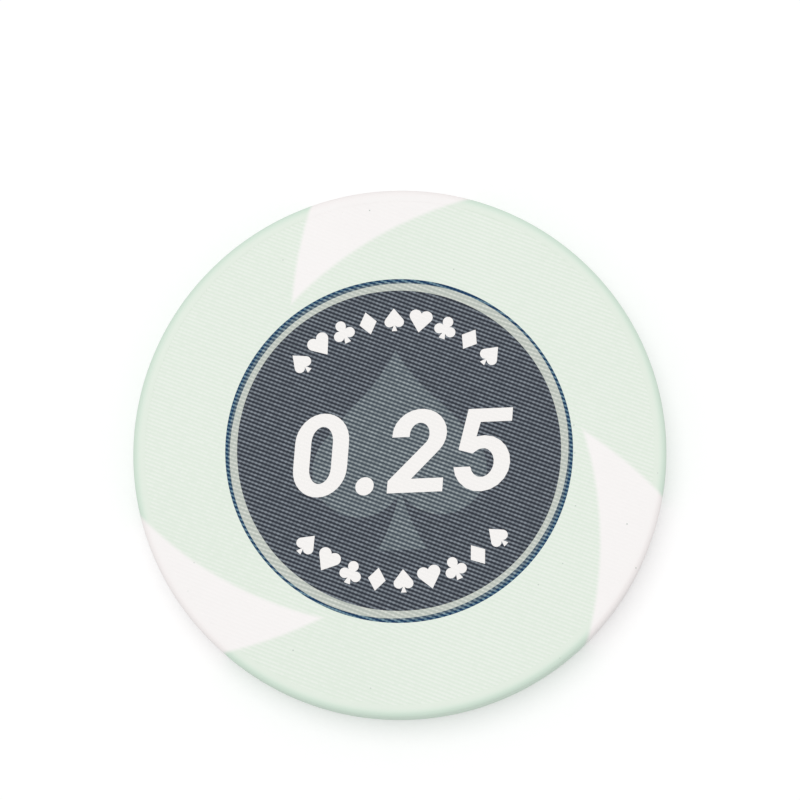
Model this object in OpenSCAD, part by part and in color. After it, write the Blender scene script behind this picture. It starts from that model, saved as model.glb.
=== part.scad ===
// Poker chip: a moulded disc with three edge spots let right through it, a steel slug sealed inside
// and a printed inlay seated flush in each face. Sizes are in millimetres. The chip lies on its back
// face at z = 0, its front face looks up +Z, and what is printed on the front reads along +X.

/* [Chip] */
// Diameter of the chip
chip_d = 39; // [36:0.5:43]
// Thickness of the chip
chip_t = 3.3; // [3:0.1:4]
// Radius that rounds both edges of the rim
edge_r = 0.45; // [0.2:0.05:0.9]

/* [Inlays] */
// Width of the face's plain band, from the rim in to the inlay
band_w = 6.8; // [5:0.1:9]
// Thickness of each inlay
inlay_t = 0.3; // [0.2:0.05:0.6]

/* [Steel slug] */
// Distance of the slug's edge inside the inlay's edge
slug_inset = 0.7; // [0.2:0.1:4]
// Thickness of the slug
slug_t = 1.8; // [1:0.1:2.4]

/* [Edge spots] */
// Gap from the inlay's edge out to a spot's inner tip
tip_gap = 0.8; // [0.3:0.1:3]
// Direction of the right-hand spot's tip, turned from +X
spot_tip_angle = 3.7; // [-30:0.1:30]
// Angle of rim from a spot's tip to its near corner
spot_lean_angle = 16.3; // [10:0.1:22]
// Angle of rim that a spot takes up, from its near corner to its far corner
spot_arc_angle = 35.3; // [24:0.1:44]
// Radius of the curve of a spot's short edge
short_edge_r = 31; // [12:1:60]
// Radius of the curve of a spot's long edge
long_edge_r = 27.7; // [20:0.1:80]

/* [Hidden] */
$fn = 144;

// How far a cut runs past the face that it opens
overshoot = 1;
// Spots, spread evenly round the rim
spot_count = 3;
spot_step_angle = 360 / spot_count;

chip_r = chip_d / 2;
inlay_d = chip_d - 2 * band_w;
slug_d = inlay_d - 2 * slug_inset;
spot_tip_r = inlay_d / 2 + tip_gap;
// The slug lies midway between the faces
slug_z = (chip_t - slug_t) / 2;
// Height of the front inlay's seat
front_seat_z = chip_t - inlay_t;

mint = "#DFEDE0";
white = "#F4F1F0";
charcoal = "#3B444D";
steel = "#9AA0A4";

// The three corners of a spot whose tip points along +X
spot_tip = [spot_tip_r, 0];
near_corner = on_rim(-spot_lean_angle);
far_corner = on_rim(-spot_lean_angle - spot_arc_angle);

// Point on the rim at an angle from +X
function on_rim(angle) = chip_r * [cos(angle), sin(angle)];

// Centre of the arc of radius r from p to q that turns clockwise
function arc_centre(p, q, r) =
    let (chord = q - p, across = [chord.y, -chord.x] / norm(chord))
    (p + q) / 2 + sqrt(r * r - chord * chord / 4) * across;

// Half of the chip's section: a slab with both outer corners rounded
module half_section() {
    square([chip_r - edge_r, chip_t]);
    translate([0, edge_r]) square([chip_r, chip_t - 2 * edge_r]);
    for (z = [edge_r, chip_t - edge_r])
        translate([chip_r - edge_r, z]) circle(r = edge_r);
}

// The whole chip as one disc, before it is parted into its pieces
module blank() {
    rotate_extrude() half_section();
}

// Blade outline of a spot: inside its short edge's circle and outside its long edge's circle
module spot_outline() {
    intersection() {
        circle(r = chip_r + overshoot);
        difference() {
            translate(arc_centre(spot_tip, near_corner, short_edge_r)) circle(r = short_edge_r);
            translate(arc_centre(spot_tip, far_corner, long_edge_r)) circle(r = long_edge_r);
        }
    }
}

// Space of one spot, running past both faces and past the rim
module spot_space(index) {
    rotate(spot_tip_angle + index * spot_step_angle)
        translate([0, 0, -overshoot])
            linear_extrude(chip_t + 2 * overshoot) spot_outline();
}

module edge_spot(index) {
    color(white) intersection() {
        blank();
        spot_space(index);
    }
}

module moulded_body() {
    color(mint) difference() {
        blank();
        for (index = [0:spot_count - 1]) spot_space(index);
        translate([0, 0, front_seat_z]) cylinder(d = inlay_d, h = inlay_t + overshoot);
        translate([0, 0, -overshoot]) cylinder(d = inlay_d, h = inlay_t + overshoot);
        translate([0, 0, slug_z]) cylinder(d = slug_d, h = slug_t);
    }
}

module edge_spot_right() {
    edge_spot(0);
}

module edge_spot_top() {
    edge_spot(1);
}

module edge_spot_left() {
    edge_spot(2);
}

module inlay_disc() {
    color(charcoal) cylinder(d = inlay_d, h = inlay_t);
}

module front_inlay() {
    translate([0, 0, front_seat_z]) inlay_disc();
}

module back_inlay() {
    inlay_disc();
}

module steel_slug() {
    color(steel) translate([0, 0, slug_z]) cylinder(d = slug_d, h = slug_t);
}

moulded_body();
edge_spot_right();
edge_spot_top();
edge_spot_left();
front_inlay();
back_inlay();
steel_slug();
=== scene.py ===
"""Looks of a poker chip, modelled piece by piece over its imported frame.

The chip lies on its back face with its front up, and what is printed on the front reads along +X.
Shapes are worked out in millimetres and scaled to metres when a piece is finished.
"""

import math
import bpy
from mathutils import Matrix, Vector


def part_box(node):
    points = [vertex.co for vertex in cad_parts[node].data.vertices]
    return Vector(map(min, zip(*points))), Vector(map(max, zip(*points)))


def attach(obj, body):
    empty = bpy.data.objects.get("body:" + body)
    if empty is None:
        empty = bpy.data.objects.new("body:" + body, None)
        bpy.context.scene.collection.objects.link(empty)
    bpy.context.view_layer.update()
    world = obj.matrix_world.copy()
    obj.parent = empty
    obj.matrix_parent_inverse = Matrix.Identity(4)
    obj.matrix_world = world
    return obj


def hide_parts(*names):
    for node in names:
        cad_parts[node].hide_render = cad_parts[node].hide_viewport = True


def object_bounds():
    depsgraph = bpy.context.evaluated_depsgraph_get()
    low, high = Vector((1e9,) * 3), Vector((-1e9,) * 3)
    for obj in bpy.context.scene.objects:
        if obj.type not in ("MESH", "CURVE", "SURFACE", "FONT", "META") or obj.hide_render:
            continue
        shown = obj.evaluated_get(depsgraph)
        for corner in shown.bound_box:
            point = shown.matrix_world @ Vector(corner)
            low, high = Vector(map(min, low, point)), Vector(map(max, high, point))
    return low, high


bl_info = {
    "name": "Poker Chip",
    "version": (1, 0, 0),
    "blender": (4, 5, 0),
    "location": "View3D > Sidebar > Poker Chip",
    "description": "Models a moulded poker chip with a woven face, edge spots and printed inlays",
    "category": "Add Mesh",
}

from types import SimpleNamespace

import bmesh
import bpy
from bpy.props import FloatProperty, FloatVectorProperty, IntProperty, PointerProperty
from bpy.types import Operator, Panel, PropertyGroup
from mathutils import Matrix, Vector

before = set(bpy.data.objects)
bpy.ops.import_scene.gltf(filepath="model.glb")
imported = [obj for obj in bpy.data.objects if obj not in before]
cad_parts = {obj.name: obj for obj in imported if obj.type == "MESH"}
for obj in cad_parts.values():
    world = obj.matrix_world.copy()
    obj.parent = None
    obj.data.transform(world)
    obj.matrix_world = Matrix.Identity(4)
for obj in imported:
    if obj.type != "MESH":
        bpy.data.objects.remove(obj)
CAD_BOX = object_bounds()

# Metres in a millimetre
MM = 0.001
# How far a cutting shape runs past the face that it opens
OVERSHOOT = 1.0
# Distance under which two points count as one
WELD = 1e-4
# Sides that stand for a full turn of the rim and of the inlay's edge
TURN_STEPS = 288
# Faces that meet at more than this angle keep a sharp edge between them
SHARP_ANGLE = math.radians(50)
# A face whose normal has less than this along Z belongs to a wall
LEVEL_LEAST = 0.3

CHIP_R = CAD_BOX[1].y / MM
CHIP_T = CAD_BOX[1].z / MM
INLAY_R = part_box("front_inlay")[1].y / MM
INLAY_T = (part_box("front_inlay")[1].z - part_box("front_inlay")[0].z) / MM
SLUG_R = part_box("steel_slug")[1].y / MM
SLUG_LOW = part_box("steel_slug")[0].z / MM
SLUG_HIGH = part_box("steel_slug")[1].z / MM
SPOT_NODES = ("edge_spot_right", "edge_spot_top", "edge_spot_left")

# Turns the chip over about its Y axis, so that the front face takes the back face's place
TURN_OVER = Matrix.Translation((0, 0, CHIP_T)) @ Matrix.Rotation(math.pi, 4, "Y")


def linear(hex_colour):
    """An sRGB hex colour as linear red, green and blue."""
    channels = [int(hex_colour[i:i + 2], 16) / 255 for i in (1, 3, 5)]
    return tuple(c / 12.92 if c <= 0.04045 else ((c + 0.055) / 1.055) ** 2.4 for c in channels)


def length(name, description, millimetres):
    """A length that a user may change, kept in metres."""
    return FloatProperty(
        name=name, description=description, default=millimetres * MM, unit="LENGTH", precision=5
    )


def angle(name, description, degrees):
    """An angle that a user may change, kept in radians."""
    return FloatProperty(
        name=name, description=description, default=math.radians(degrees), subtype="ANGLE"
    )


def colour(name, description, hex_colour):
    """A colour that a user may change, kept linear."""
    return FloatVectorProperty(
        name=name, description=description, default=linear(hex_colour), subtype="COLOR", min=0, max=1
    )


class ChipSizes(PropertyGroup):
    """Sizes of the moulded pieces"""

    edge_round: length("Edge round", "Radius that rounds both edges of the rim", 0.45)
    weave_radius: length("Weave radius", "Radius at which the woven face ends in a smooth margin", 18.6)
    weave_pitch: length("Weave pitch", "Distance from one rib of the weave to the next", 0.2845)
    weave_angle: angle("Weave angle", "Direction of the ribs, turned from the numerals' line", -23.1)
    weave_shift: length("Weave shift", "Distance of the nearest rib from the chip's middle", -0.0845)
    weave_sink: length("Weave sink", "Depth of the ribs' tops under the smooth margin", 0.005)
    weave_depth: length("Weave depth", "Depth of the valleys under the ribs' tops", 0.02)
    tip_gap: length("Tip gap", "Gap from the inlay's edge out to a spot's inner tip", 0.8)
    spot_tip_angle: angle("Spot tip angle", "Direction of the right-hand spot's tip", 3.7)
    spot_lean_angle: angle("Spot lean angle", "Angle of rim from a spot's tip to its near corner", 16.3)
    spot_arc_angle: angle("Spot arc angle", "Angle of rim that a spot takes up", 35.3)
    short_edge_r: length("Short edge radius", "Radius of the curve of a spot's short edge", 31)
    long_edge_r: length("Long edge radius", "Radius of the curve of a spot's long edge", 27.7)
    joint_w: length("Joint width", "Width over which the two resins run into each other", 0.4)
    gate_angle: angle("Gate angle", "Direction of the moulding gate's mark on the rim", 19)
    gate_r: length("Gate radius", "Radius of the shallow dish round the gate's mark", 1.3)
    gate_nub_r: length("Gate nub radius", "Radius of the nub that is left where the gate broke off", 0.48)
    gate_depth: length("Gate depth", "Depth of the gate's dish", 0.1)


class PrintSizes(PropertyGroup):
    """Sizes of what is printed on an inlay"""

    edge_line_w: length("Edge line width", "Width of the navy line at the inlay's edge", 0.22)
    edge_ring_w: length("Edge ring width", "Least width of the dark ring at the inlay's edge", 0.19)
    edge_ring_swell: length("Edge ring swell", "Further width of the dark ring where it is widest", 0.28)
    edge_ring_turn: angle("Edge ring turn", "Direction in which the dark ring is narrowest", 43)
    ground_r: length("Ground radius", "Radius of the dark ground inside the pale ring", 11.83)
    figure_base: length("Figure base", "Height of the line that the numerals stand on", -3.22)
    figure_lean: angle("Figure lean", "Angle by which the numerals lean to the right", 6.5)
    pip_h: length("Pip height", "Height of each small suit mark", 1.7)
    pip_ring_r: length("Pip ring radius", "Radius of the arcs that the suit marks stand on", 9.65)
    pip_span: angle("Pip span", "Angle from the first suit mark of an arc to its last", 92)
    pip_count: IntProperty(
        name="Pip count", description="Suit marks along each arc", default=9, min=2, max=12
    )
    spade_h: length("Spade height", "Height of the large faint spade behind the numerals", 14.8)


class ChipColours(PropertyGroup):
    """Colours of the resins and inks"""

    mint: colour("Mint", "Mint resin between the ribs", "#E1ECDF")
    mint_rib: colour("Mint rib", "Mint resin on the ribs, where it is rubbed paler", "#EAF1E8")
    # The rim tones are partly the resin's own deeper tint and partly painted shade, darker where the
    # rounded edge turns away from the light.
    mint_rim: colour("Mint rim", "Mint resin of the smooth rim", "#D5E8D9")
    white: colour("White", "White resin of the edge spots, between the ribs", "#F8F5F4")
    white_rib: colour("White rib", "White resin of the edge spots, on the ribs", "#F9F6F5")
    white_rim: colour("White rim", "White resin of the smooth rim", "#F8F3F2")
    speck: colour("Speck", "Fine dark specks in the resin", "#BFC8C1")
    charcoal: colour("Charcoal", "Ink of the inlay's ground", "#2C313B")
    charcoal_rib: colour("Charcoal rib", "Ink of the ground where the ribs rub it thin", "#939CA5")
    spade: colour("Spade", "Ink of the faint spade", "#444E57")
    spade_rib: colour("Spade rib", "Ink of the faint spade where the ribs rub it thin", "#ABB5B8")
    navy: colour("Navy", "Ink of the line at the inlay's edge", "#053257")
    navy_rib: colour("Navy rib", "Ink of the navy line where the ribs rub it thin", "#7FA2B0")
    slate: colour("Slate", "Ink of the dark ring inside the navy line", "#3A4D5E")
    slate_rib: colour("Slate rib", "Ink of the dark ring where the ribs rub it thin", "#A4B7BD")
    sage: colour("Sage", "Ink of the pale ring", "#B9C0B8")
    sage_rib: colour("Sage rib", "Ink of the pale ring where the ribs rub it thin", "#E2E5DE")
    print_white: colour("Print white", "White ink of the numerals and suit marks", "#F7F5F3")
    print_white_rib: colour("Print white rib", "White ink on the ribs", "#FDFAF8")
    steel: colour("Steel", "Steel of the slug", "#A3A7AA")


class StageSettings(PropertyGroup):
    """Camera and light"""

    camera_place: FloatVectorProperty(
        name="Camera place", description="Where the camera stands", subtype="TRANSLATION",
        unit="LENGTH", default=(7.05 * MM, -34.13 * MM, 215.14 * MM),
    )
    camera_aim: FloatVectorProperty(
        name="Camera aim", description="Point that the camera looks at", subtype="TRANSLATION",
        unit="LENGTH", default=(0.22 * MM, 3.64 * MM, 3.3 * MM),
    )
    camera_turn: angle("Camera turn", "Angle by which the picture's upright is turned from +Y", 2.02)
    camera_lens: FloatProperty(
        name="Camera lens", description="Focal length in millimetres on a 36 mm sensor", default=132.4
    )
    light_level: FloatProperty(
        name="Light level", description="Light on the front face, at which colours show as written",
        subtype="FACTOR", default=0.965, min=0, max=2,
    )
    key_share: FloatProperty(
        name="Key share", description="Share of the light that the soft lamp overhead gives",
        subtype="FACTOR", default=0.25, min=0, max=1,
    )


def read(group):
    """A settings group's values, with lengths in millimetres and angles in radians."""
    values = SimpleNamespace()
    for prop in group.bl_rna.properties:
        if prop.identifier in ("rna_type", "name"):
            continue
        value = getattr(group, prop.identifier)
        if prop.type == "FLOAT" and prop.unit == "LENGTH" and not prop.is_array:
            value = value / MM
        setattr(values, prop.identifier, value)
    return values


# Outlines

def polar(radius, turn):
    """The point at a radius and an angle from +X."""
    return Vector((radius * math.cos(turn), radius * math.sin(turn)))


def arc(centre, radii, start, end, steps=16):
    """Points along an elliptical arc. Angles are in degrees."""
    points = []
    for i in range(steps + 1):
        turn = math.radians(start + (end - start) * i / steps)
        across, up = radii[0] * math.cos(turn), radii[1] * math.sin(turn)
        points.append(Vector((centre[0] + across, centre[1] + up)))
    return points


def arc_centre(p, q, radius):
    """Centre of the arc of a radius that turns clockwise from p to q."""
    chord = q - p
    across = Vector((chord.y, -chord.x)).normalized()
    return (p + q) / 2 + math.sqrt(radius ** 2 - chord.length_squared / 4) * across


def arc_between(p, q, radius, steps=24):
    """Points along the arc of a radius that turns clockwise from p to q."""
    centre = arc_centre(p, q, radius)
    start = math.degrees(math.atan2(p.y - centre.y, p.x - centre.x))
    sweep = math.degrees(2 * math.asin((q - p).length / 2 / radius))
    return arc(centre, (radius, radius), start, start - sweep, steps)


def tangent_turn(tip, centre, radius):
    """Direction, from a circle's centre, of the point where a line from the tip touches its right side."""
    reach = Vector(centre) - Vector(tip)
    return math.degrees(math.atan2(reach.y, reach.x) + math.pi / 2 + math.asin(radius / reach.length))


def mirrored(right_side):
    """A closed outline from its right-hand half, which runs from the top point to the bottom one."""
    left_side = [Vector((-p.x, p.y)) for p in reversed(right_side)]
    return right_side + [p for p in left_side if abs(p.x) > WELD]


def spot_angles(sizes, index):
    """Directions of an edge spot's tip, near corner and far corner."""
    tip = sizes.spot_tip_angle + index * math.tau / len(SPOT_NODES)
    near = tip - sizes.spot_lean_angle
    return tip, near, near - sizes.spot_arc_angle


def spot_corners(sizes, index):
    """Tip, near corner and far corner of an edge spot."""
    tip, near, far = spot_angles(sizes, index)
    return polar(INLAY_R + sizes.tip_gap, tip), polar(CHIP_R, near), polar(CHIP_R, far)


def spot_outline(sizes, index):
    """Blade outline of one edge spot, running past the rim."""
    _, near_turn, far_turn = spot_angles(sizes, index)
    tip, near, far = spot_corners(sizes, index)
    past_rim = CHIP_R + OVERSHOOT
    outside = arc((0, 0), (past_rim, past_rim), math.degrees(near_turn), math.degrees(far_turn))
    short_edge = arc_between(tip, near, sizes.short_edge_r)
    long_edge = arc_between(tip, far, sizes.long_edge_r)
    return short_edge + outside + long_edge[:0:-1]


def circle_loops(radius):
    """Outline of a circle about the chip's axis."""
    return [arc((0, 0), (radius, radius), 0, 360, TURN_STEPS)[:-1]]


def pale_ring_loops(sizes):
    """Outer outline of the pale ring: an ellipse, which leaves the ring round it wider at two sides."""
    reach = INLAY_R - sizes.edge_ring_w
    turn = Matrix.Rotation(sizes.edge_ring_turn, 2)
    outline = arc((0, 0), (reach, reach - sizes.edge_ring_swell), 0, 360, TURN_STEPS)[:-1]
    return [[turn @ p for p in outline]]


def figure_zero():
    """Outer and inner outline of the numeral 0: straight sides with half an ellipse at each end."""
    width, height, end_h = 3.94, 6.17, 2.12
    side_w, cap_h = 1.18, 0.98
    loops = []
    for inset_x, inset_y in ((0, 0), (side_w, cap_h)):
        radii = (width / 2 - inset_x, end_h - inset_y)
        top = arc((width / 2, height - end_h), radii, 0, 180)
        bottom = arc((width / 2, end_h), radii, 180, 360)
        loops.append(top + bottom)
    return loops


def figure_two():
    """Outline of the numeral 2: a bowl that runs down into a straight diagonal and a level base."""
    width, base_h, foot_h, tail_h = 4.04, 1.01, 0.89, 4.1
    bowl, inner_bowl = (2.08, 4.27), (2.08, 4.25)
    radii, inner_radii = (1.99, 1.87), (0.72, 0.87)
    corner_x, bowl_end = 1.7, -39.5
    outer = arc(bowl, radii, 180, bowl_end)
    inner = arc(inner_bowl, inner_radii, bowl_end, 180)
    base = [(corner_x, base_h), (width, base_h), (width, 0), (0, 0), (0, foot_h)]
    return [[(bowl[0] - radii[0], tail_h)] + outer + base + inner + [(bowl[0] - inner_radii[0], tail_h)]]


def figure_five():
    """Outline of the numeral 5: a level bar, a leaning stem and a round bowl."""
    height, bar_left, bar_right, bar_low, stem_right = 5.96, 0.73, 3.97, 4.97, 1.69
    bowl, inner_bowl, tail_h = (1.99, 1.92), (1.99, 1.97), 1.71
    radii, inner_radii = (2.06, 2.06), (0.86, 1.06)
    bowl_start, bowl_end = 105, -174
    inner_start, inner_end = -165, 114
    stem_foot = [(1.24, 2.67), (0.21, 2.97)]
    bar = [(bar_left, height), (bar_right, height), (bar_right, bar_low), (stem_right, bar_low)]
    outer = arc(bowl, radii, bowl_start, bowl_end)
    tail = [(bowl[0] - inner_radii[0], tail_h)]
    inner = arc(inner_bowl, inner_radii, inner_start, inner_end)
    return [bar + outer + tail + inner + stem_foot]


def figure_point():
    """Outline of the decimal point."""
    radius = 0.67
    return [arc((radius, radius), (radius, radius), 0, 360, steps=32)[:-1]]


# The numerals in reading order, each with its left edge and its drop below the base line
FIGURES = (
    (figure_zero, -7.63, 0.09),
    (figure_point, -2.96, 0.08),
    (figure_two, -0.63, 0),
    (figure_five, 4.17, -0.02),
)


def numeral_loops(sizes):
    """Outlines of all the numerals, leaning to the right about the chip's level middle line."""
    lean = math.tan(sizes.figure_lean)
    loops = []
    for figure, left, drop in FIGURES:
        base = sizes.figure_base - drop
        for loop in figure():
            loops.append([Vector((left + x + lean * (base + y), base + y)) for x, y in loop])
    return loops


def pip_spade():
    """Spade of height 1 about its middle."""
    tip, lobe, radius, neck_turn = (0, 0.5), (0.2, -0.105), 0.221, -140
    foot = Vector((0.12, -0.5))
    side = arc(lobe, (radius, radius), tangent_turn(tip, lobe, radius), neck_turn)
    return mirrored([Vector(tip)] + side + [foot])


def large_spade():
    """Spade of height 1 about its middle, with hollow flanks, round lobes and a flared stem."""
    tip, shoulder, flank_r = Vector((0, 0.5)), Vector((0.223, 0.22)), 0.946
    lobe, radius, lobe_start, lobe_end = (0.202, -0.103), 0.229, 43, -147
    foot, stem_r = Vector((0.124, -0.5)), 0.8
    flank = arc_between(shoulder, tip, flank_r)
    side = arc(lobe, (radius, radius), lobe_start, lobe_end)
    stem = arc_between(foot, side[-1], stem_r)
    return mirrored(flank[::-1] + side + stem[-2::-1])


def pip_heart():
    """Heart of height 1 about its middle."""
    tip, lobe, radius, cleft_turn = (0, -0.5), (0.235, 0.215), 0.265, 152
    flank_turn = -tangent_turn((tip[0], -tip[1]), (lobe[0], -lobe[1]), radius)
    side = arc(lobe, (radius, radius), cleft_turn, flank_turn)
    return mirrored(side + [Vector(tip)])


def pip_diamond():
    """Diamond of height 1 about its middle."""
    return mirrored([Vector((0, 0.5)), Vector((0.38, 0)), Vector((0, -0.5))])


def pip_club():
    """Club of height 1 about its middle: three lobes on a flared stem."""
    radius, top, side = 0.225, (0, 0.275), (0.25, -0.115)
    top_end, side_start, neck_turn = -38, 118, -143
    foot = Vector((0.135, -0.5))
    top_lobe = arc(top, (radius, radius), 90, top_end)
    side_lobe = arc(side, (radius, radius), side_start, neck_turn)
    return mirrored(top_lobe + side_lobe + [foot])


# Suit marks in the order that they follow one another along an arc
PIPS = (pip_spade, pip_heart, pip_club, pip_diamond)


def pip_loops(sizes):
    """Outlines of the suit marks along the upper and the lower arc, upright to the reader."""
    loops = []
    for middle, facing in ((math.pi / 2, 1), (-math.pi / 2, -1)):
        for i in range(sizes.pip_count):
            turn = middle - facing * sizes.pip_span * (i / (sizes.pip_count - 1) - 0.5)
            tilt = Matrix.Rotation(turn - middle, 2)
            place = polar(sizes.pip_ring_r, turn)
            loops.append([place + tilt @ (p * sizes.pip_h) for p in PIPS[i % len(PIPS)]()])
    return loops


# Solids

def to_mesh(bm, name):
    """A mesh from a bmesh, which is freed."""
    mesh = bpy.data.meshes.new(name)
    bm.to_mesh(mesh)
    bm.free()
    return mesh


def add_object(name, data):
    """Adds an object to the scene for a mesh, a lamp or a camera."""
    obj = bpy.data.objects.new(name, data)
    bpy.context.scene.collection.objects.link(obj)
    return obj


def add_prism(bm, loops, low, high):
    """Fills outlines, leaving the holes that lie inside others, and draws them up into solids."""
    edges = []
    for loop in loops:
        verts = [bm.verts.new((p[0], p[1], low)) for p in loop]
        edges += [bm.edges.new(pair) for pair in zip(verts, verts[1:] + verts[:1])]
    filled = bmesh.ops.triangle_fill(bm, use_beauty=True, edges=edges, normal=(0, 0, 1))
    faces = [g for g in filled["geom"] if isinstance(g, bmesh.types.BMFace)]
    drawn = bmesh.ops.extrude_face_region(bm, geom=faces)
    top = [g for g in drawn["geom"] if isinstance(g, bmesh.types.BMVert)]
    bmesh.ops.translate(bm, verts=top, vec=(0, 0, high - low))
    bmesh.ops.recalc_face_normals(bm, faces=bm.faces[:])


def add_disc(bm, radius, low, high):
    """Adds a solid disc about the chip's axis."""
    place = Matrix.Translation((0, 0, (low + high) / 2))
    bmesh.ops.create_cone(
        bm, cap_ends=True, segments=TURN_STEPS, radius1=radius, radius2=radius, depth=high - low,
        matrix=place,
    )


def boolean(mesh, tool_mesh, operation):
    """A new mesh: the first solid with the second one's space kept or taken away."""
    solid = add_object("solid", mesh)
    tool = add_object("tool", tool_mesh)
    modifier = solid.modifiers.new("Boolean", "BOOLEAN")
    modifier.operation = operation
    modifier.object = tool
    modifier.solver = "MANIFOLD"
    depsgraph = bpy.context.evaluated_depsgraph_get()
    result = bpy.data.meshes.new_from_object(solid.evaluated_get(depsgraph))
    for obj in (solid, tool):
        bpy.data.objects.remove(obj)
    if len(result.vertices) in (0, len(mesh.vertices)):
        raise RuntimeError(f"{operation} with {tool_mesh.name} did not cut {mesh.name}")
    return result


def plain_blank(sizes):
    """The whole chip as one smooth disc with both edges of its rim rounded."""
    round_steps = 10
    bm = bmesh.new()
    add_disc(bm, CHIP_R, 0, CHIP_T)
    rim_edges = [e for e in bm.edges if abs(e.verts[0].co.z - e.verts[1].co.z) < WELD]
    bmesh.ops.bevel(
        bm, geom=rim_edges, offset=sizes.edge_round, segments=round_steps, profile=0.5, affect="EDGES",
        material=-1,
    )
    return to_mesh(bm, "plain_blank")


def weave_tool(sizes):
    """A disc whose underside is the front face's weave: long ribs that swell once in each pitch."""
    pitches = 2 * math.ceil(sizes.weave_radius / sizes.weave_pitch + 1)
    half = pitches * sizes.weave_pitch / 2
    # Faces across a rib and along a swell in each pitch, and the swells' height as a share of the ribs'
    across_steps, along_steps, swell = 3, 2, 0.3
    bm = bmesh.new()
    bmesh.ops.create_grid(
        bm, x_segments=along_steps * pitches, y_segments=across_steps * pitches, size=half
    )
    wave = math.tau / sizes.weave_pitch
    for vert in bm.verts:
        height = (math.cos(wave * vert.co.y) + swell * math.cos(wave * vert.co.x)) / (1 + swell)
        vert.co.z = CHIP_T - sizes.weave_sink - sizes.weave_depth * (1 - height) / 2
    border = [e for e in bm.edges if e.is_boundary]
    drawn = bmesh.ops.extrude_edge_only(bm, edges=border)
    top_verts = [g for g in drawn["geom"] if isinstance(g, bmesh.types.BMVert)]
    top_edges = [g for g in drawn["geom"] if isinstance(g, bmesh.types.BMEdge) and g.is_boundary]
    for vert in top_verts:
        vert.co.z = CHIP_T + OVERSHOOT
    bmesh.ops.edgeloop_fill(bm, edges=top_edges)
    bmesh.ops.recalc_face_normals(bm, faces=bm.faces[:])
    turn = Matrix.Rotation(sizes.weave_angle, 4, "Z") @ Matrix.Translation((0, sizes.weave_shift, 0))
    bmesh.ops.transform(bm, matrix=turn, verts=bm.verts[:])
    slab = to_mesh(bm, "weave_slab")
    bm = bmesh.new()
    add_disc(bm, sizes.weave_radius, CHIP_T / 2, CHIP_T + 2 * OVERSHOOT)
    return boolean(slab, to_mesh(bm, "weave_limit"), "INTERSECT")


def woven_blank(sizes):
    """The whole chip with the weave pressed into both faces, made once and then reused."""
    name = "woven_blank"
    if name not in bpy.data.meshes:
        front = weave_tool(sizes)
        back = front.copy()
        back.transform(TURN_OVER)
        woven = boolean(boolean(plain_blank(sizes), front, "DIFFERENCE"), back, "DIFFERENCE")
        woven.name = name
    return bpy.data.meshes[name]


def gate_place(sizes):
    """Middle of the moulding gate's mark, halfway up the rim."""
    return polar(CHIP_R, sizes.gate_angle).to_3d() + Vector((0, 0, CHIP_T / 2))


def gate_tool(sizes):
    """Shallow stepped dish with a dimpled nub at its middle, to sink into the rim at the gate's mark."""
    depth, nub_r, dish_r = sizes.gate_depth, sizes.gate_nub_r, sizes.gate_r
    dimple_r, dimple_depth, nub_sink = 0.12, 0.06, 0.01
    # The profile from the axis outward and then back above the rim, as pairs of radius and depth
    dimple = [(0, dimple_depth), (0.6 * dimple_r, 0.05), (dimple_r, nub_sink)]
    nub = [(0.6 * nub_r, nub_sink), (0.85 * nub_r, 0.03), (nub_r, depth)]
    dish = [(0.78 * dish_r, depth), (0.82 * dish_r, 0.75 * depth), (0.96 * dish_r, 0.7 * depth)]
    lip = [(dish_r, 0.4 * depth), (1.01 * dish_r, -OVERSHOOT), (0, -OVERSHOOT)]
    bm = bmesh.new()
    verts = [bm.verts.new((r, 0, -z)) for r, z in dimple + nub + dish + lip]
    edges = [bm.edges.new(pair) for pair in zip(verts, verts[1:])]
    bmesh.ops.spin(
        bm, geom=verts + edges, cent=(0, 0, 0), axis=(0, 0, 1), angle=math.tau, steps=48, use_merge=True
    )
    bmesh.ops.remove_doubles(bm, verts=bm.verts[:], dist=WELD)
    bmesh.ops.recalc_face_normals(bm, faces=bm.faces[:])
    outward = Matrix.Rotation(sizes.gate_angle, 4, "Z") @ Matrix.Rotation(math.pi / 2, 4, "Y")
    place = Matrix.Translation(gate_place(sizes))
    bmesh.ops.transform(bm, matrix=place @ outward, verts=bm.verts[:])
    return to_mesh(bm, "gate_tool")


def paint(mesh, tool_mesh, ink):
    """Parts a printed inlay's skin along a tool's sides and gives what lies inside the ink's slot."""
    inside = boolean(mesh, tool_mesh, "INTERSECT")
    outside = boolean(mesh, tool_mesh, "DIFFERENCE")
    bm = bmesh.new()
    bm.from_mesh(outside)
    kept = len(bm.faces)
    bm.from_mesh(inside)
    bm.faces.ensure_lookup_table()
    for face in bm.faces[kept:]:
        face.material_index = ink
    edge_gap = 0.01
    walls = [
        f for f in bm.faces
        if abs(f.normal.z) < LEVEL_LEAST and f.calc_center_median().to_2d().length < INLAY_R - edge_gap
    ]
    bmesh.ops.delete(bm, geom=walls, context="FACES")
    bmesh.ops.remove_doubles(bm, verts=bm.verts[:], dist=WELD)
    painted = to_mesh(bm, mesh.name)
    for material in mesh.materials:
        painted.materials.append(material)
    return painted


def lay_out_print(mesh):
    """Gives an inlay a bake map: its printed face fills the map, its back and wall lie flat in a corner."""
    layer = mesh.uv_layers.new(name="OFBake")
    seat = CHIP_T - INLAY_T
    middle, reach = 0.5, 0.48
    corner, corner_reach, wall_spread = 0.08, 0.05, 0.3
    for face in mesh.polygons:
        printed = face.normal.z > LEVEL_LEAST
        for loop in face.loop_indices:
            place = mesh.vertices[mesh.loops[loop].vertex_index].co
            flat = place.to_2d() / INLAY_R
            if printed:
                layer.data[loop].uv = (middle + reach * flat.x, middle + reach * flat.y)
                continue
            spread = corner_reach * (1 + wall_spread * (place.z - seat) / INLAY_T)
            layer.data[loop].uv = (corner + spread * flat.x, corner + spread * flat.y)


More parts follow.
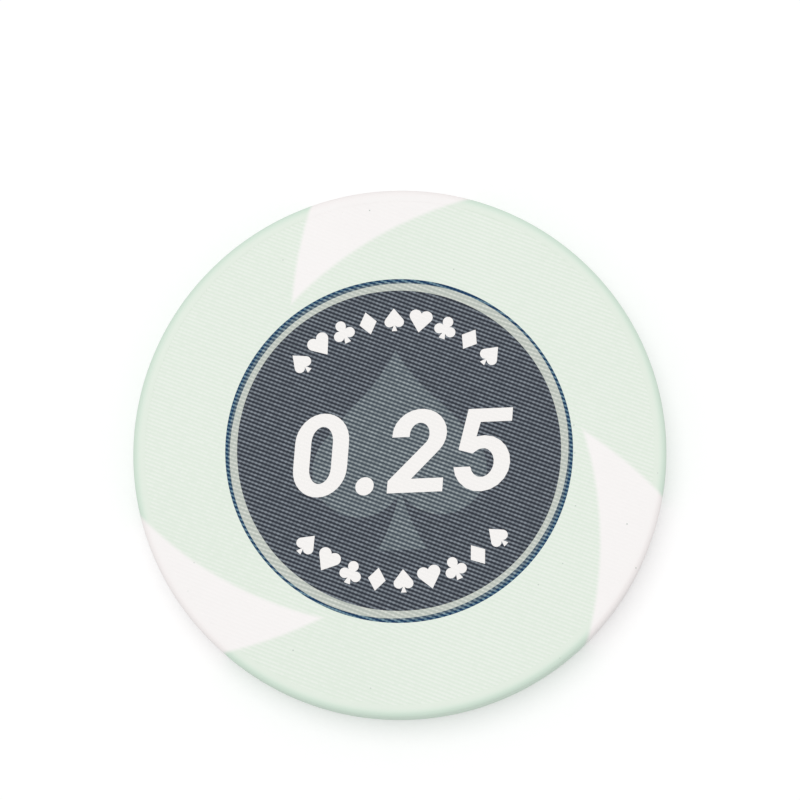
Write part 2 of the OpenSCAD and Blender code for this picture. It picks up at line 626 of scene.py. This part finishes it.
def coat(mesh, materials):
    """Gives a mesh its materials and every face the first of them."""
    mesh.materials.clear()
    for material in materials:
        mesh.materials.append(material)


def make_piece(name, mesh, node):
    """Finishes a piece: brings its mesh to metres, shades it and sets it in its node's place."""
    mesh.transform(Matrix.Scale(MM, 4))
    mesh.shade_smooth()
    mesh.set_sharp_from_angle(angle=SHARP_ANGLE)
    piece = add_object(name, mesh)
    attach(piece, "root")
    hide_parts(node)


# Materials

def add_node(tree, kind, inputs=None, **settings):
    """Adds a node with its settings. An input given as a node or a socket is linked, any other is set."""
    node = tree.nodes.new(kind)
    for name, value in settings.items():
        setattr(node, name, value)
    for key, value in (inputs or {}).items():
        if isinstance(value, bpy.types.Node):
            value = value.outputs[0]
        if isinstance(value, bpy.types.NodeSocket):
            tree.links.new(value, node.inputs[key])
        else:
            node.inputs[key].default_value = value
    return node


def new_material(name):
    """An empty node material, with its tree and its surface's shader."""
    material = bpy.data.materials.new(name)
    material.use_nodes = True
    tree = material.node_tree
    tree.nodes.clear()
    shader = add_node(tree, "ShaderNodeBsdfPrincipled")
    add_node(tree, "ShaderNodeOutputMaterial", {"Surface": shader})
    return material, tree, shader


def weave_phases(tree, sizes):
    """Phases along and across the ribs, in step with the modelled weave on both faces."""
    place = add_node(tree, "ShaderNodeTexCoord").outputs["Object"]
    parts = add_node(tree, "ShaderNodeSeparateXYZ", {0: place})
    front = add_node(
        tree, "ShaderNodeMath", {0: parts.outputs["Z"], 1: CHIP_T / 2 * MM}, operation="GREATER_THAN"
    )
    facing = add_node(tree, "ShaderNodeMath", {0: front, 1: 2, 2: -1}, operation="MULTIPLY_ADD")
    across = add_node(tree, "ShaderNodeMath", {0: parts.outputs["X"], 1: facing}, operation="MULTIPLY")
    seen = add_node(tree, "ShaderNodeCombineXYZ", {"X": across, "Y": parts.outputs["Y"]})
    wave = math.tau / sizes.weave_pitch
    return add_node(tree, "ShaderNodeMapping", {
        "Vector": seen, "Scale": (wave / MM,) * 3, "Rotation": (0, 0, -sizes.weave_angle),
        "Location": (0, -wave * sizes.weave_shift, 0),
    })


def rib_dashes(tree, sizes, share, low, high, weak, strong):
    """Mask of the short dashes on the ribs' tops, 0 in the valleys, each dash with a strength of its own.

    Share is the swells' part in the height of the weave, which runs from -1 to 1. A dash fades in from the
    low height to the high one, and its strength lies between weak and strong.
    """
    phases = weave_phases(tree, sizes)
    turned = add_node(tree, "ShaderNodeSeparateXYZ", {0: phases})
    swells = add_node(tree, "ShaderNodeMath", {0: turned.outputs["X"]}, operation="COSINE")
    ribs = add_node(tree, "ShaderNodeMath", {0: turned.outputs["Y"]}, operation="COSINE")
    swell = add_node(tree, "ShaderNodeMath", {0: swells, 1: share}, operation="MULTIPLY")
    height = add_node(tree, "ShaderNodeMath", {0: ribs, 1: 1 - share, 2: swell}, operation="MULTIPLY_ADD")
    dashes = add_node(
        tree, "ShaderNodeMapRange", {"Value": height, "From Min": low, "From Max": high},
        interpolation_type="SMOOTHSTEP",
    )
    shifted = add_node(tree, "ShaderNodeVectorMath", {0: phases, 1: (math.pi,) * 3}, operation="ADD")
    cells = add_node(tree, "ShaderNodeVectorMath", {0: shifted, 1: (math.tau,) * 3}, operation="SNAP")
    chance = add_node(tree, "ShaderNodeTexWhiteNoise", {"Vector": cells}, noise_dimensions="3D")
    strength = add_node(
        tree, "ShaderNodeMapRange", {"Value": chance.outputs["Value"], "To Min": weak, "To Max": strong}
    )
    return add_node(tree, "ShaderNodeMath", {0: dashes, 1: strength}, operation="MULTIPLY")


def beyond_radius(tree, start, end):
    """Mask that is 0 about the chip's middle and rises to 1 from one radius to another."""
    place = add_node(tree, "ShaderNodeTexCoord").outputs["Object"]
    level = add_node(tree, "ShaderNodeVectorMath", {0: place, 1: (1, 1, 0)}, operation="MULTIPLY")
    radius = add_node(tree, "ShaderNodeVectorMath", {0: level}, operation="LENGTH")
    return add_node(
        tree, "ShaderNodeMapRange",
        {"Value": radius.outputs["Value"], "From Min": start * MM, "From Max": end * MM},
        interpolation_type="SMOOTHSTEP",
    )


def mottling(tree, grain, stretch=(1, 1, 1), detail=2.0):
    """Uneven pattern whose grain has a real size in millimetres, drawn out along an axis if asked."""
    place = add_node(tree, "ShaderNodeTexCoord").outputs["Object"]
    mapped = add_node(tree, "ShaderNodeMapping", {"Vector": place, "Scale": stretch})
    settings = {"Vector": mapped, "Scale": 1 / (grain * MM), "Detail": detail}
    return add_node(tree, "ShaderNodeTexNoise", settings)


def spot_depth(tree, sizes):
    """Distance in millimetres inside the edge of the nearest spot, less than 0 in the body."""
    tip_turn, _, far_turn = spot_angles(sizes, 0)
    tip, near, far = spot_corners(sizes, 0)
    middle = (tip_turn + far_turn) / 2
    half_step = math.pi / len(SPOT_NODES)
    place = add_node(tree, "ShaderNodeTexCoord").outputs["Object"]
    level = add_node(tree, "ShaderNodeVectorMath", {0: place, 1: (1 / MM, 1 / MM, 0)}, operation="MULTIPLY")
    radius = add_node(tree, "ShaderNodeVectorMath", {0: level}, operation="LENGTH")
    parts = add_node(tree, "ShaderNodeSeparateXYZ", {0: level})
    turn = add_node(
        tree, "ShaderNodeMath", {0: parts.outputs["Y"], 1: parts.outputs["X"]}, operation="ARCTAN2"
    )
    folded = add_node(
        tree, "ShaderNodeMath", {0: turn, 1: middle + half_step, 2: middle - half_step}, operation="WRAP"
    )
    along = add_node(tree, "ShaderNodeMath", {0: folded}, operation="COSINE")
    across = add_node(tree, "ShaderNodeMath", {0: folded}, operation="SINE")
    direction = add_node(tree, "ShaderNodeCombineXYZ", {"X": along, "Y": across})
    point = add_node(
        tree, "ShaderNodeVectorMath", {0: direction, "Scale": radius.outputs["Value"]}, operation="SCALE"
    )
    short_centre = arc_centre(tip, near, sizes.short_edge_r).to_3d()
    long_centre = arc_centre(tip, far, sizes.long_edge_r).to_3d()
    short_reach = add_node(tree, "ShaderNodeVectorMath", {0: point, 1: short_centre}, operation="DISTANCE")
    long_reach = add_node(tree, "ShaderNodeVectorMath", {0: point, 1: long_centre}, operation="DISTANCE")
    from_short = add_node(
        tree, "ShaderNodeMath", {0: sizes.short_edge_r, 1: short_reach.outputs["Value"]},
        operation="SUBTRACT",
    )
    from_long = add_node(
        tree, "ShaderNodeMath", {0: long_reach.outputs["Value"], 1: sizes.long_edge_r},
        operation="SUBTRACT",
    )
    return add_node(tree, "ShaderNodeMath", {0: from_short, 1: from_long}, operation="MINIMUM")


def gate_scar(tree, sizes):
    """Mask of the nub on the rim where the gate broke off."""
    place = add_node(tree, "ShaderNodeTexCoord").outputs["Object"]
    centre = gate_place(sizes) * MM
    reach = add_node(tree, "ShaderNodeVectorMath", {0: place, 1: centre}, operation="DISTANCE")
    start, end = sizes.gate_nub_r * 1.1, sizes.gate_nub_r * 0.8
    return add_node(
        tree, "ShaderNodeMapRange",
        {"Value": reach.outputs["Value"], "From Min": start * MM, "From Max": end * MM},
    )


def specks(tree, spacing, size):
    """Mask of stray specks, few of which meet the surface. Spacing and size are in millimetres."""
    place = add_node(tree, "ShaderNodeTexCoord").outputs["Object"]
    cells = add_node(tree, "ShaderNodeTexVoronoi", {"Vector": place, "Scale": 1 / (spacing * MM)})
    start, end = size / 2 / spacing, size / 4 / spacing
    return add_node(
        tree, "ShaderNodeMapRange",
        {"Value": cells.outputs["Distance"], "From Min": start, "From Max": end},
    )


def moulded_resin(name, sizes, own, other, speck, side):
    """Moulded melamine resin: satin, paler where hands rub the ribs, streaked round the smooth rim.

    The weave breaks its sheen into fine lines, and the rim shows the draw marks of the mould. At a spot's
    edge the two resins run into each other. Own and other tones are those of valley, crest and rim, where
    the rim tone is partly the resin's deeper tint and partly painted shade of the rounded edge, and side is
    1 for the resin outside the spots and -1 for the resin inside them.
    """
    margin_blend, margin_rub = 0.03, 0.35
    # Radii between which the painted shade of the rounded edge comes in, with the resin's deeper rim tint
    rim_shade_start, rim_shade_end = CHIP_R - 0.7, CHIP_R - 0.1
    streak_grain, streak_run, streak_depth = 0.12, 0.06, 0.02
    material, tree, shader = new_material(name)
    half_joint = side * sizes.joint_w / 2
    run = add_node(
        tree, "ShaderNodeMapRange",
        {"Value": spot_depth(tree, sizes), "From Min": -half_joint, "From Max": half_joint},
        interpolation_type="SMOOTHSTEP",
    )
    tones = []
    for own_tone, other_tone in zip(own, other):
        blended = add_node(
            tree, "ShaderNodeMix", {"Factor": run, "A": (*own_tone, 1), "B": (*other_tone, 1)},
            data_type="RGBA",
        )
        tones.append(blended.outputs["Result"])
    valley, crest, rim = tones
    margin = beyond_radius(tree, sizes.weave_radius - margin_blend, sizes.weave_radius + margin_blend)
    dashes = rib_dashes(tree, sizes, share=0.2, low=-0.6, high=0.9, weak=0.6, strong=1.6)
    wear = add_node(
        tree, "ShaderNodeMapRange", {"Value": mottling(tree, grain=14), "To Min": 0, "To Max": 2}
    )
    worn = add_node(tree, "ShaderNodeMath", {0: dashes, 1: wear}, operation="MULTIPLY")
    rubbed = add_node(tree, "ShaderNodeMix", {"Factor": margin, "A": worn, "B": margin_rub})
    face = add_node(tree, "ShaderNodeMix", {"Factor": rubbed, "A": valley, "B": crest}, data_type="RGBA")
    # Painted shade: from 0.7 mm to 0.1 mm inside the rim the tone turns to the darker rim tone, partly the
    # resin's deeper tint and partly shade of the rounded edge turning from the light.
    edge = beyond_radius(tree, rim_shade_start, rim_shade_end)
    whole = add_node(
        tree, "ShaderNodeMix", {"Factor": edge, "A": face.outputs["Result"], "B": rim}, data_type="RGBA"
    )
    scarred = add_node(
        tree, "ShaderNodeMix",
        {"Factor": gate_scar(tree, sizes), "A": whole.outputs["Result"], "B": crest}, data_type="RGBA",
    )
    stray = specks(tree, spacing=1.7, size=0.14)
    specked = add_node(
        tree, "ShaderNodeMix", {"Factor": stray, "A": scarred.outputs["Result"], "B": (*speck, 1)},
        data_type="RGBA",
    )
    cloud = add_node(
        tree, "ShaderNodeMapRange", {"Value": mottling(tree, grain=6), "To Min": 0.985, "To Max": 1.005}
    )
    mottled = add_node(
        tree, "ShaderNodeMix", {"Factor": 1.0, "A": specked.outputs["Result"], "B": cloud},
        data_type="RGBA", blend_type="MULTIPLY",
    )
    tree.links.new(mottled.outputs["Result"], shader.inputs["Base Color"])
    satin = add_node(
        tree, "ShaderNodeMapRange", {"Value": mottling(tree, grain=0.6), "To Min": 0.44, "To Max": 0.56}
    )
    tree.links.new(satin.outputs[0], shader.inputs["Roughness"])
    streaks = mottling(tree, streak_grain, stretch=(1, 1, streak_run))
    bump = add_node(
        tree, "ShaderNodeBump", {"Height": streaks, "Strength": 0.12, "Distance": streak_depth * MM}
    )
    tree.links.new(bump.outputs[0], shader.inputs["Normal"])
    shader.inputs["IOR"].default_value = 1.5
    return material


def resin_tones(colours):
    """Tones of the mint and the white resin, each in its valleys, on its ribs and round its rim."""
    # Each rim tone holds painted shade of the rounded edge as well as the resin's deeper tint.
    mint = (colours.mint, colours.mint_rib, colours.mint_rim)
    white = (colours.white, colours.white_rib, colours.white_rim)
    return mint, white


def printed_ink(name, sizes, ink, thin_ink):
    """Ink printed on the woven laminate: solid in the valleys, rubbed thin in short dashes on the ribs."""
    material, tree, shader = new_material(name)
    dashes = rib_dashes(tree, sizes, share=0.24, low=-0.5, high=1.05, weak=0.6, strong=0.9)
    wear = add_node(
        tree, "ShaderNodeMapRange", {"Value": mottling(tree, grain=0.9), "To Min": 0.9, "To Max": 1.1}
    )
    rubbed = add_node(tree, "ShaderNodeMath", {0: dashes, 1: wear}, operation="MULTIPLY")
    inked = add_node(
        tree, "ShaderNodeMix", {"Factor": rubbed, "A": (*ink, 1), "B": (*thin_ink, 1)}, data_type="RGBA"
    )
    tree.links.new(inked.outputs["Result"], shader.inputs["Base Color"])
    satin = add_node(
        tree, "ShaderNodeMapRange", {"Value": mottling(tree, grain=0.4), "To Min": 0.42, "To Max": 0.55}
    )
    tree.links.new(satin.outputs[0], shader.inputs["Roughness"])
    shader.inputs["IOR"].default_value = 1.5
    shader.inputs["Specular IOR Level"].default_value = 0.1
    return material


def stamped_steel(name, tone):
    """Mild steel stamped from sheet: grey, with fine rolling lines along one direction."""
    material, tree, shader = new_material(name)
    lines = mottling(tree, grain=0.3, stretch=(0.03, 1, 1), detail=4)
    brushed = add_node(tree, "ShaderNodeMapRange", {"Value": lines, "To Min": 0.3, "To Max": 0.5})
    tree.links.new(brushed.outputs[0], shader.inputs["Roughness"])
    shade = add_node(tree, "ShaderNodeMapRange", {"Value": lines, "To Min": 0.85, "To Max": 1.05})
    toned = add_node(
        tree, "ShaderNodeMix", {"Factor": 1.0, "A": (*tone, 1), "B": shade},
        data_type="RGBA", blend_type="MULTIPLY",
    )
    tree.links.new(toned.outputs["Result"], shader.inputs["Base Color"])
    shader.inputs["Metallic"].default_value = 1.0
    return material


# Operators

class CHIP_OT_moulded_body(Operator):
    """Model the mint body with its woven faces, smooth rim and gate mark"""

    bl_idname = "chip.moulded_body"
    bl_label = "Moulded Body"

    def execute(self, context):
        sizes = read(context.scene.chip_sizes)
        colours = read(context.scene.chip_colours)
        bm = bmesh.new()
        for index in range(len(SPOT_NODES)):
            add_prism(bm, [spot_outline(sizes, index)], -OVERSHOOT, CHIP_T + OVERSHOOT)
        add_disc(bm, INLAY_R, CHIP_T - INLAY_T, CHIP_T + OVERSHOOT)
        add_disc(bm, INLAY_R, -OVERSHOOT, INLAY_T)
        add_disc(bm, SLUG_R, SLUG_LOW, SLUG_HIGH)
        mesh = boolean(woven_blank(sizes), to_mesh(bm, "spaces"), "DIFFERENCE")
        mesh = boolean(mesh, gate_tool(sizes), "DIFFERENCE")
        mint, white = resin_tones(colours)
        coat(mesh, [moulded_resin("mint_moulded_resin", sizes, mint, white, colours.speck, side=1)])
        make_piece("chip_body", mesh, "moulded_body")
        return {"FINISHED"}


class CHIP_OT_edge_spots(Operator):
    """Model the three white spots that go right through the rim"""

    bl_idname = "chip.edge_spots"
    bl_label = "Edge Spots"

    def execute(self, context):
        sizes = read(context.scene.chip_sizes)
        colours = read(context.scene.chip_colours)
        mint, white = resin_tones(colours)
        resin = moulded_resin("white_moulded_resin", sizes, white, mint, colours.speck, side=-1)
        for index, node in enumerate(SPOT_NODES):
            bm = bmesh.new()
            add_prism(bm, [spot_outline(sizes, index)], -OVERSHOOT, CHIP_T + OVERSHOOT)
            mesh = boolean(woven_blank(sizes), to_mesh(bm, "spot_space"), "INTERSECT")
            coat(mesh, [resin])
            make_piece(f"white_{node}", mesh, node)
        return {"FINISHED"}


class CHIP_OT_inlays(Operator):
    """Model the printed inlay of each face"""

    bl_idname = "chip.inlays"
    bl_label = "Printed Inlays"

    def execute(self, context):
        sizes = read(context.scene.chip_sizes)
        sizes_of_print = read(context.scene.chip_print)
        colours = read(context.scene.chip_colours)
        seat = CHIP_T - INLAY_T
        above = CHIP_T + OVERSHOOT
        below = seat - OVERSHOOT
        bm = bmesh.new()
        add_disc(bm, INLAY_R, seat, above)
        mesh = boolean(woven_blank(sizes), to_mesh(bm, "inlay_space"), "INTERSECT")
        inks = [
            printed_ink("navy_ink", sizes, colours.navy, colours.navy_rib),
            printed_ink("slate_ink", sizes, colours.slate, colours.slate_rib),
            printed_ink("sage_ink", sizes, colours.sage, colours.sage_rib),
            printed_ink("charcoal_ink", sizes, colours.charcoal, colours.charcoal_rib),
            printed_ink("spade_ink", sizes, colours.spade, colours.spade_rib),
            printed_ink("white_ink", sizes, colours.print_white, colours.print_white_rib),
        ]
        coat(mesh, inks)
        prints = (
            circle_loops(INLAY_R - sizes_of_print.edge_line_w),
            pale_ring_loops(sizes_of_print),
            circle_loops(sizes_of_print.ground_r),
            [[p * sizes_of_print.spade_h for p in large_spade()]],
            numeral_loops(sizes_of_print) + pip_loops(sizes_of_print),
        )
        for ink, loops in enumerate(prints, start=1):
            bm = bmesh.new()
            add_prism(bm, loops, below, above)
            mesh = paint(mesh, to_mesh(bm, "print_space"), ink)
        lay_out_print(mesh)
        back = mesh.copy()
        back.transform(TURN_OVER)
        make_piece("printed_front_inlay", mesh, "front_inlay")
        make_piece("printed_back_inlay", back, "back_inlay")
        return {"FINISHED"}


class CHIP_OT_steel_slug(Operator):
    """Give the sealed slug its steel"""

    bl_idname = "chip.steel_slug"
    bl_label = "Steel Slug"

    def execute(self, context):
        colours = read(context.scene.chip_colours)
        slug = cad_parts["steel_slug"]
        slug.data.materials.clear()
        slug.data.materials.append(stamped_steel("stamped_steel", colours.steel))
        return {"FINISHED"}


class CHIP_OT_stage(Operator):
    """Set the pale floor, the soft light and the camera"""

    bl_idname = "chip.stage"
    bl_label = "Stage"

    def execute(self, context):
        stage = context.scene.chip_stage
        self.add_floor()
        self.add_world(stage.light_level * (1 - stage.key_share))
        self.add_key(stage.light_level * stage.key_share)
        self.add_camera(stage)
        context.scene.view_settings.view_transform = "Standard"
        return {"FINISHED"}

    def add_floor(self):
        """Adds a white floor that the camera sees at full white and that keeps the chip's shadow."""
        half_side, reflected, glow_share = 2, 0.8, 0.25
        bm = bmesh.new()
        bmesh.ops.create_grid(bm, x_segments=1, y_segments=1, size=half_side)
        floor = add_object("floor", to_mesh(bm, "floor"))
        material, tree, shader = new_material("white_paper")
        shader.inputs["Base Color"].default_value = (reflected, reflected, reflected, 1)
        shader.inputs["Specular IOR Level"].default_value = 0
        shader.inputs["Roughness"].default_value = 1
        shader.inputs["Emission Color"].default_value = (1, 1, 1, 1)
        path = add_node(tree, "ShaderNodeLightPath")
        glow = add_node(
            tree, "ShaderNodeMath", {0: path.outputs["Is Camera Ray"], 1: glow_share}, operation="MULTIPLY"
        )
        tree.links.new(glow.outputs[0], shader.inputs["Emission Strength"])
        floor.data.materials.append(material)

    def add_world(self, level):
        """Surrounds the chip with even white light, seen as full white by the camera and in reflections."""
        world = bpy.data.worlds.new("studio")
        bpy.context.scene.world = world
        world.use_nodes = True
        tree = world.node_tree
        tree.nodes.clear()
        path = add_node(tree, "ShaderNodeLightPath")
        seen = add_node(
            tree, "ShaderNodeMath",
            {0: path.outputs["Is Camera Ray"], 1: path.outputs["Is Glossy Ray"]}, operation="MAXIMUM",
        )
        shown = add_node(
            tree, "ShaderNodeMath", {0: seen, 1: path.outputs["Is Transmission Ray"]}, operation="MAXIMUM"
        )
        strength = add_node(
            tree, "ShaderNodeMapRange", {"Value": shown, "To Min": level, "To Max": 1.0}
        )
        light = add_node(tree, "ShaderNodeBackground", {"Color": (1, 1, 1, 1), "Strength": strength})
        add_node(tree, "ShaderNodeOutputWorld", {"Surface": light})

    def add_key(self, level):
        """Hangs one large soft lamp over the chip, as bright as its share of the light asks."""
        place = Vector((-0.2, 0.4, 1.65))
        lamp = bpy.data.lights.new("softbox", "AREA")
        lamp.shape = "DISK"
        lamp.size = 1.4
        slant = place.normalized().z
        lamp.energy = level * math.pi ** 2 * (place.length_squared + (lamp.size / 2) ** 2) / slant
        key = add_object("softbox", lamp)
        key.location = place
        key.rotation_euler = place.to_track_quat("Z", "Y").to_euler()

    def add_camera(self, stage):
        """Sets the camera at the photograph's viewing angle."""
        data = bpy.data.cameras.new("camera")
        data.lens = stage.camera_lens
        data.sensor_width = 36
        data.clip_start = 0.01
        camera = add_object("camera", data)
        place = Vector(stage.camera_place)
        forward = (Vector(stage.camera_aim) - place).normalized()
        upright = Vector((math.sin(stage.camera_turn), math.cos(stage.camera_turn), 0))
        right = forward.cross(upright).normalized()
        up = right.cross(forward)
        turned = Matrix((right, up, -forward)).transposed().to_4x4()
        camera.matrix_world = Matrix.Translation(place) @ turned
        bpy.context.scene.camera = camera


# Panel and registration

class CHIP_PT_panel(Panel):
    """Lists the chip's pieces and settings"""

    bl_idname = "CHIP_PT_panel"
    bl_label = "Poker Chip"
    bl_space_type = "VIEW_3D"
    bl_region_type = "UI"
    bl_category = "Poker Chip"

    def draw(self, context):
        for operator in OPERATORS:
            self.layout.operator(operator.bl_idname)
        for name in SETTINGS:
            group = getattr(context.scene, name)
            box = self.layout.box()
            box.label(text=group.bl_rna.description)
            for prop in group.bl_rna.properties:
                if prop.identifier not in ("rna_type", "name"):
                    box.prop(group, prop.identifier)


SETTINGS = {
    "chip_sizes": ChipSizes,
    "chip_print": PrintSizes,
    "chip_colours": ChipColours,
    "chip_stage": StageSettings,
}
OPERATORS = (
    CHIP_OT_moulded_body,
    CHIP_OT_edge_spots,
    CHIP_OT_inlays,
    CHIP_OT_steel_slug,
    CHIP_OT_stage,
)
CLASSES = (*SETTINGS.values(), *OPERATORS, CHIP_PT_panel)


def register():
    """Registers the classes and hangs the settings on the scene."""
    for cls in CLASSES:
        bpy.utils.register_class(cls)
    for name, group in SETTINGS.items():
        setattr(bpy.types.Scene, name, PointerProperty(type=group))


def unregister():
    """Takes the settings and the classes away again."""
    for name in SETTINGS:
        delattr(bpy.types.Scene, name)
    for cls in reversed(CLASSES):
        bpy.utils.unregister_class(cls)


def main():
    """Makes every piece and the stage."""
    register()
    bpy.ops.chip.moulded_body()
    bpy.ops.chip.edge_spots()
    bpy.ops.chip.inlays()
    bpy.ops.chip.steel_slug()
    bpy.ops.chip.stage()


if __name__ == "__main__":
    main()
